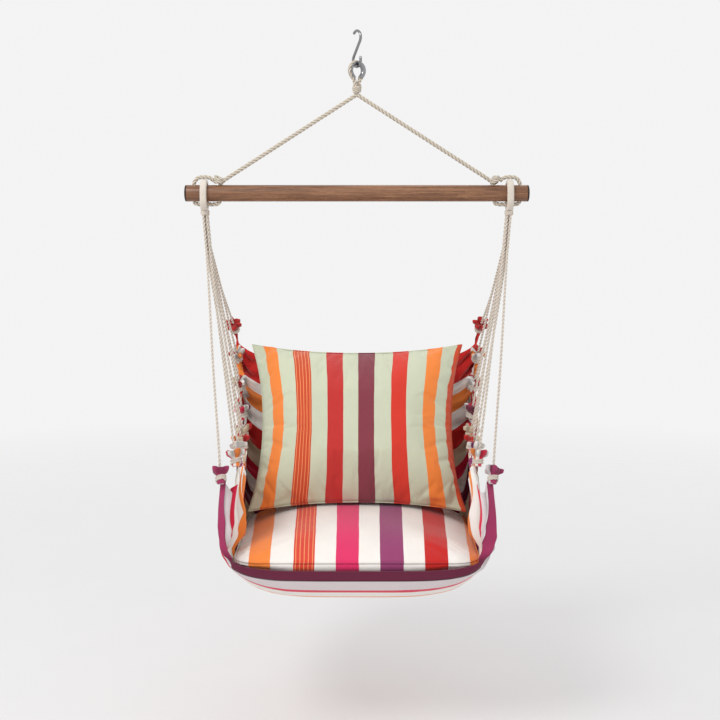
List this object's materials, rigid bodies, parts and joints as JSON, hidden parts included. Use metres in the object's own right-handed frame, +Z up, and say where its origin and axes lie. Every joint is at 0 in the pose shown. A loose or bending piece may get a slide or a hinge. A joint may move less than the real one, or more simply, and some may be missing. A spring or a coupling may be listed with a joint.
{
  "type": "hanging hammock chair",
  "caption": "Hanging hammock chair: a striped fabric sling on rope fans under a hardwood spreader bar, with a boxed seat cushion and throw pillow, hung from a hook.",
  "frame": {"origin": "inside top of the hook's upper bend, the point that the chair hangs by", "axes": "+Z up, +X towards the right end of the spreader bar seen from the front, the sitter faces -Y"},
  "size_m": [0.8, 0.569, 1.2929],
  "materials": {
    "polished_steel": "bright zinc-plated round rod",
    "thimble_steel": "pressed galvanised steel",
    "hanger_rope": "three-strand laid cotton-look rope",
    "hardwood": "oiled reddish-brown hardwood dowel with straight grain",
    "end_cap": "dark domed end cap",
    "cotton_cord": "fine twisted cord, whipped at the eye",
    "tie_fabric": "gathered sling cloth bound with cord",
    "sling_fabric": "plain-weave cloth with yarn-dyed stripes and a bound hem",
    "seat_fabric": "plain-weave striped outdoor cloth with piped seams",
    "foam": "open-cell cushion foam",
    "zip": "coil zip on a woven tape",
    "pillow_fabric": "plain-weave striped outdoor cloth with a knife edge",
    "pillow_filling": "polyester fibre filling"
  },
  "bodies": {
    "hook": {"s_hook": "polished_steel"},
    "rope_eye": {"thimble": "thimble_steel", "hanger_eye": "hanger_rope"},
    "spreader": {"hanger_leg_left": "hanger_rope", "hanger_leg_right": "hanger_rope", "spreader_bar": "hardwood", "end_cap_left": "end_cap", "end_cap_right": "end_cap"},
    "seat": {"cord_eye_left": "cotton_cord", "cord_eye_right": "cotton_cord", "cord_left_1": "cotton_cord", "cord_left_2": "cotton_cord", "cord_left_3": "cotton_cord", "cord_left_4": "cotton_cord", "cord_left_5": "cotton_cord", "cord_left_6": "cotton_cord", "cord_left_7": "cotton_cord", "cord_left_8": "cotton_cord", "cord_left_9": "cotton_cord", "cord_right_1": "cotton_cord", "cord_right_2": "cotton_cord", "cord_right_3": "cotton_cord", "cord_right_4": "cotton_cord", "cord_right_5": "cotton_cord", "cord_right_6": "cotton_cord", "cord_right_7": "cotton_cord", "cord_right_8": "cotton_cord", "cord_right_9": "cotton_cord", "tie_left_1": "tie_fabric", "tie_left_2": "tie_fabric", "tie_left_3": "tie_fabric", "tie_left_4": "tie_fabric", "tie_left_5": "tie_fabric", "tie_left_6": "tie_fabric", "tie_left_7": "tie_fabric", "tie_left_8": "tie_fabric", "tie_left_9": "tie_fabric", "tie_right_1": "tie_fabric", "tie_right_2": "tie_fabric", "tie_right_3": "tie_fabric", "tie_right_4": "tie_fabric", "tie_right_5": "tie_fabric", "tie_right_6": "tie_fabric", "tie_right_7": "tie_fabric", "tie_right_8": "tie_fabric", "tie_right_9": "tie_fabric", "sling": "sling_fabric"},
    "seat_cushion": {"seat_cushion_cover": "seat_fabric", "seat_cushion_foam": "foam", "seat_cushion_zip": "zip"},
    "pillow": {"pillow_cover": "pillow_fabric", "pillow_fill": "pillow_filling", "pillow_zip": "zip"}
  },
  "joints": [
    {"name": "swing", "type": "hinge", "parent": "hook", "child": "rope_eye", "pos_m": [0, 0, -0.067], "axis": [1, 0, 0], "range_deg": [-18, 18]},
    {"name": "sway", "type": "hinge", "parent": "rope_eye", "child": "spreader", "pos_m": [0, 0, -0.14], "axis": [0, 1, 0], "range_deg": [-12, 12]},
    {"name": "seat_tilt", "type": "hinge", "parent": "spreader", "child": "seat", "pos_m": [0, 0, -0.365], "axis": [1, 0, 0], "range_deg": [-12, 12]},
    {"name": "seat_cushion_lift", "type": "slide", "parent": "seat", "child": "seat_cushion", "axis": [0, 0, 1], "range_m": [0, 0.09]},
    {"name": "pillow_pull", "type": "slide", "parent": "seat_cushion", "child": "pillow", "axis": [0, -0.92, 0.392], "range_m": [0, 0.75]}
  ]
}
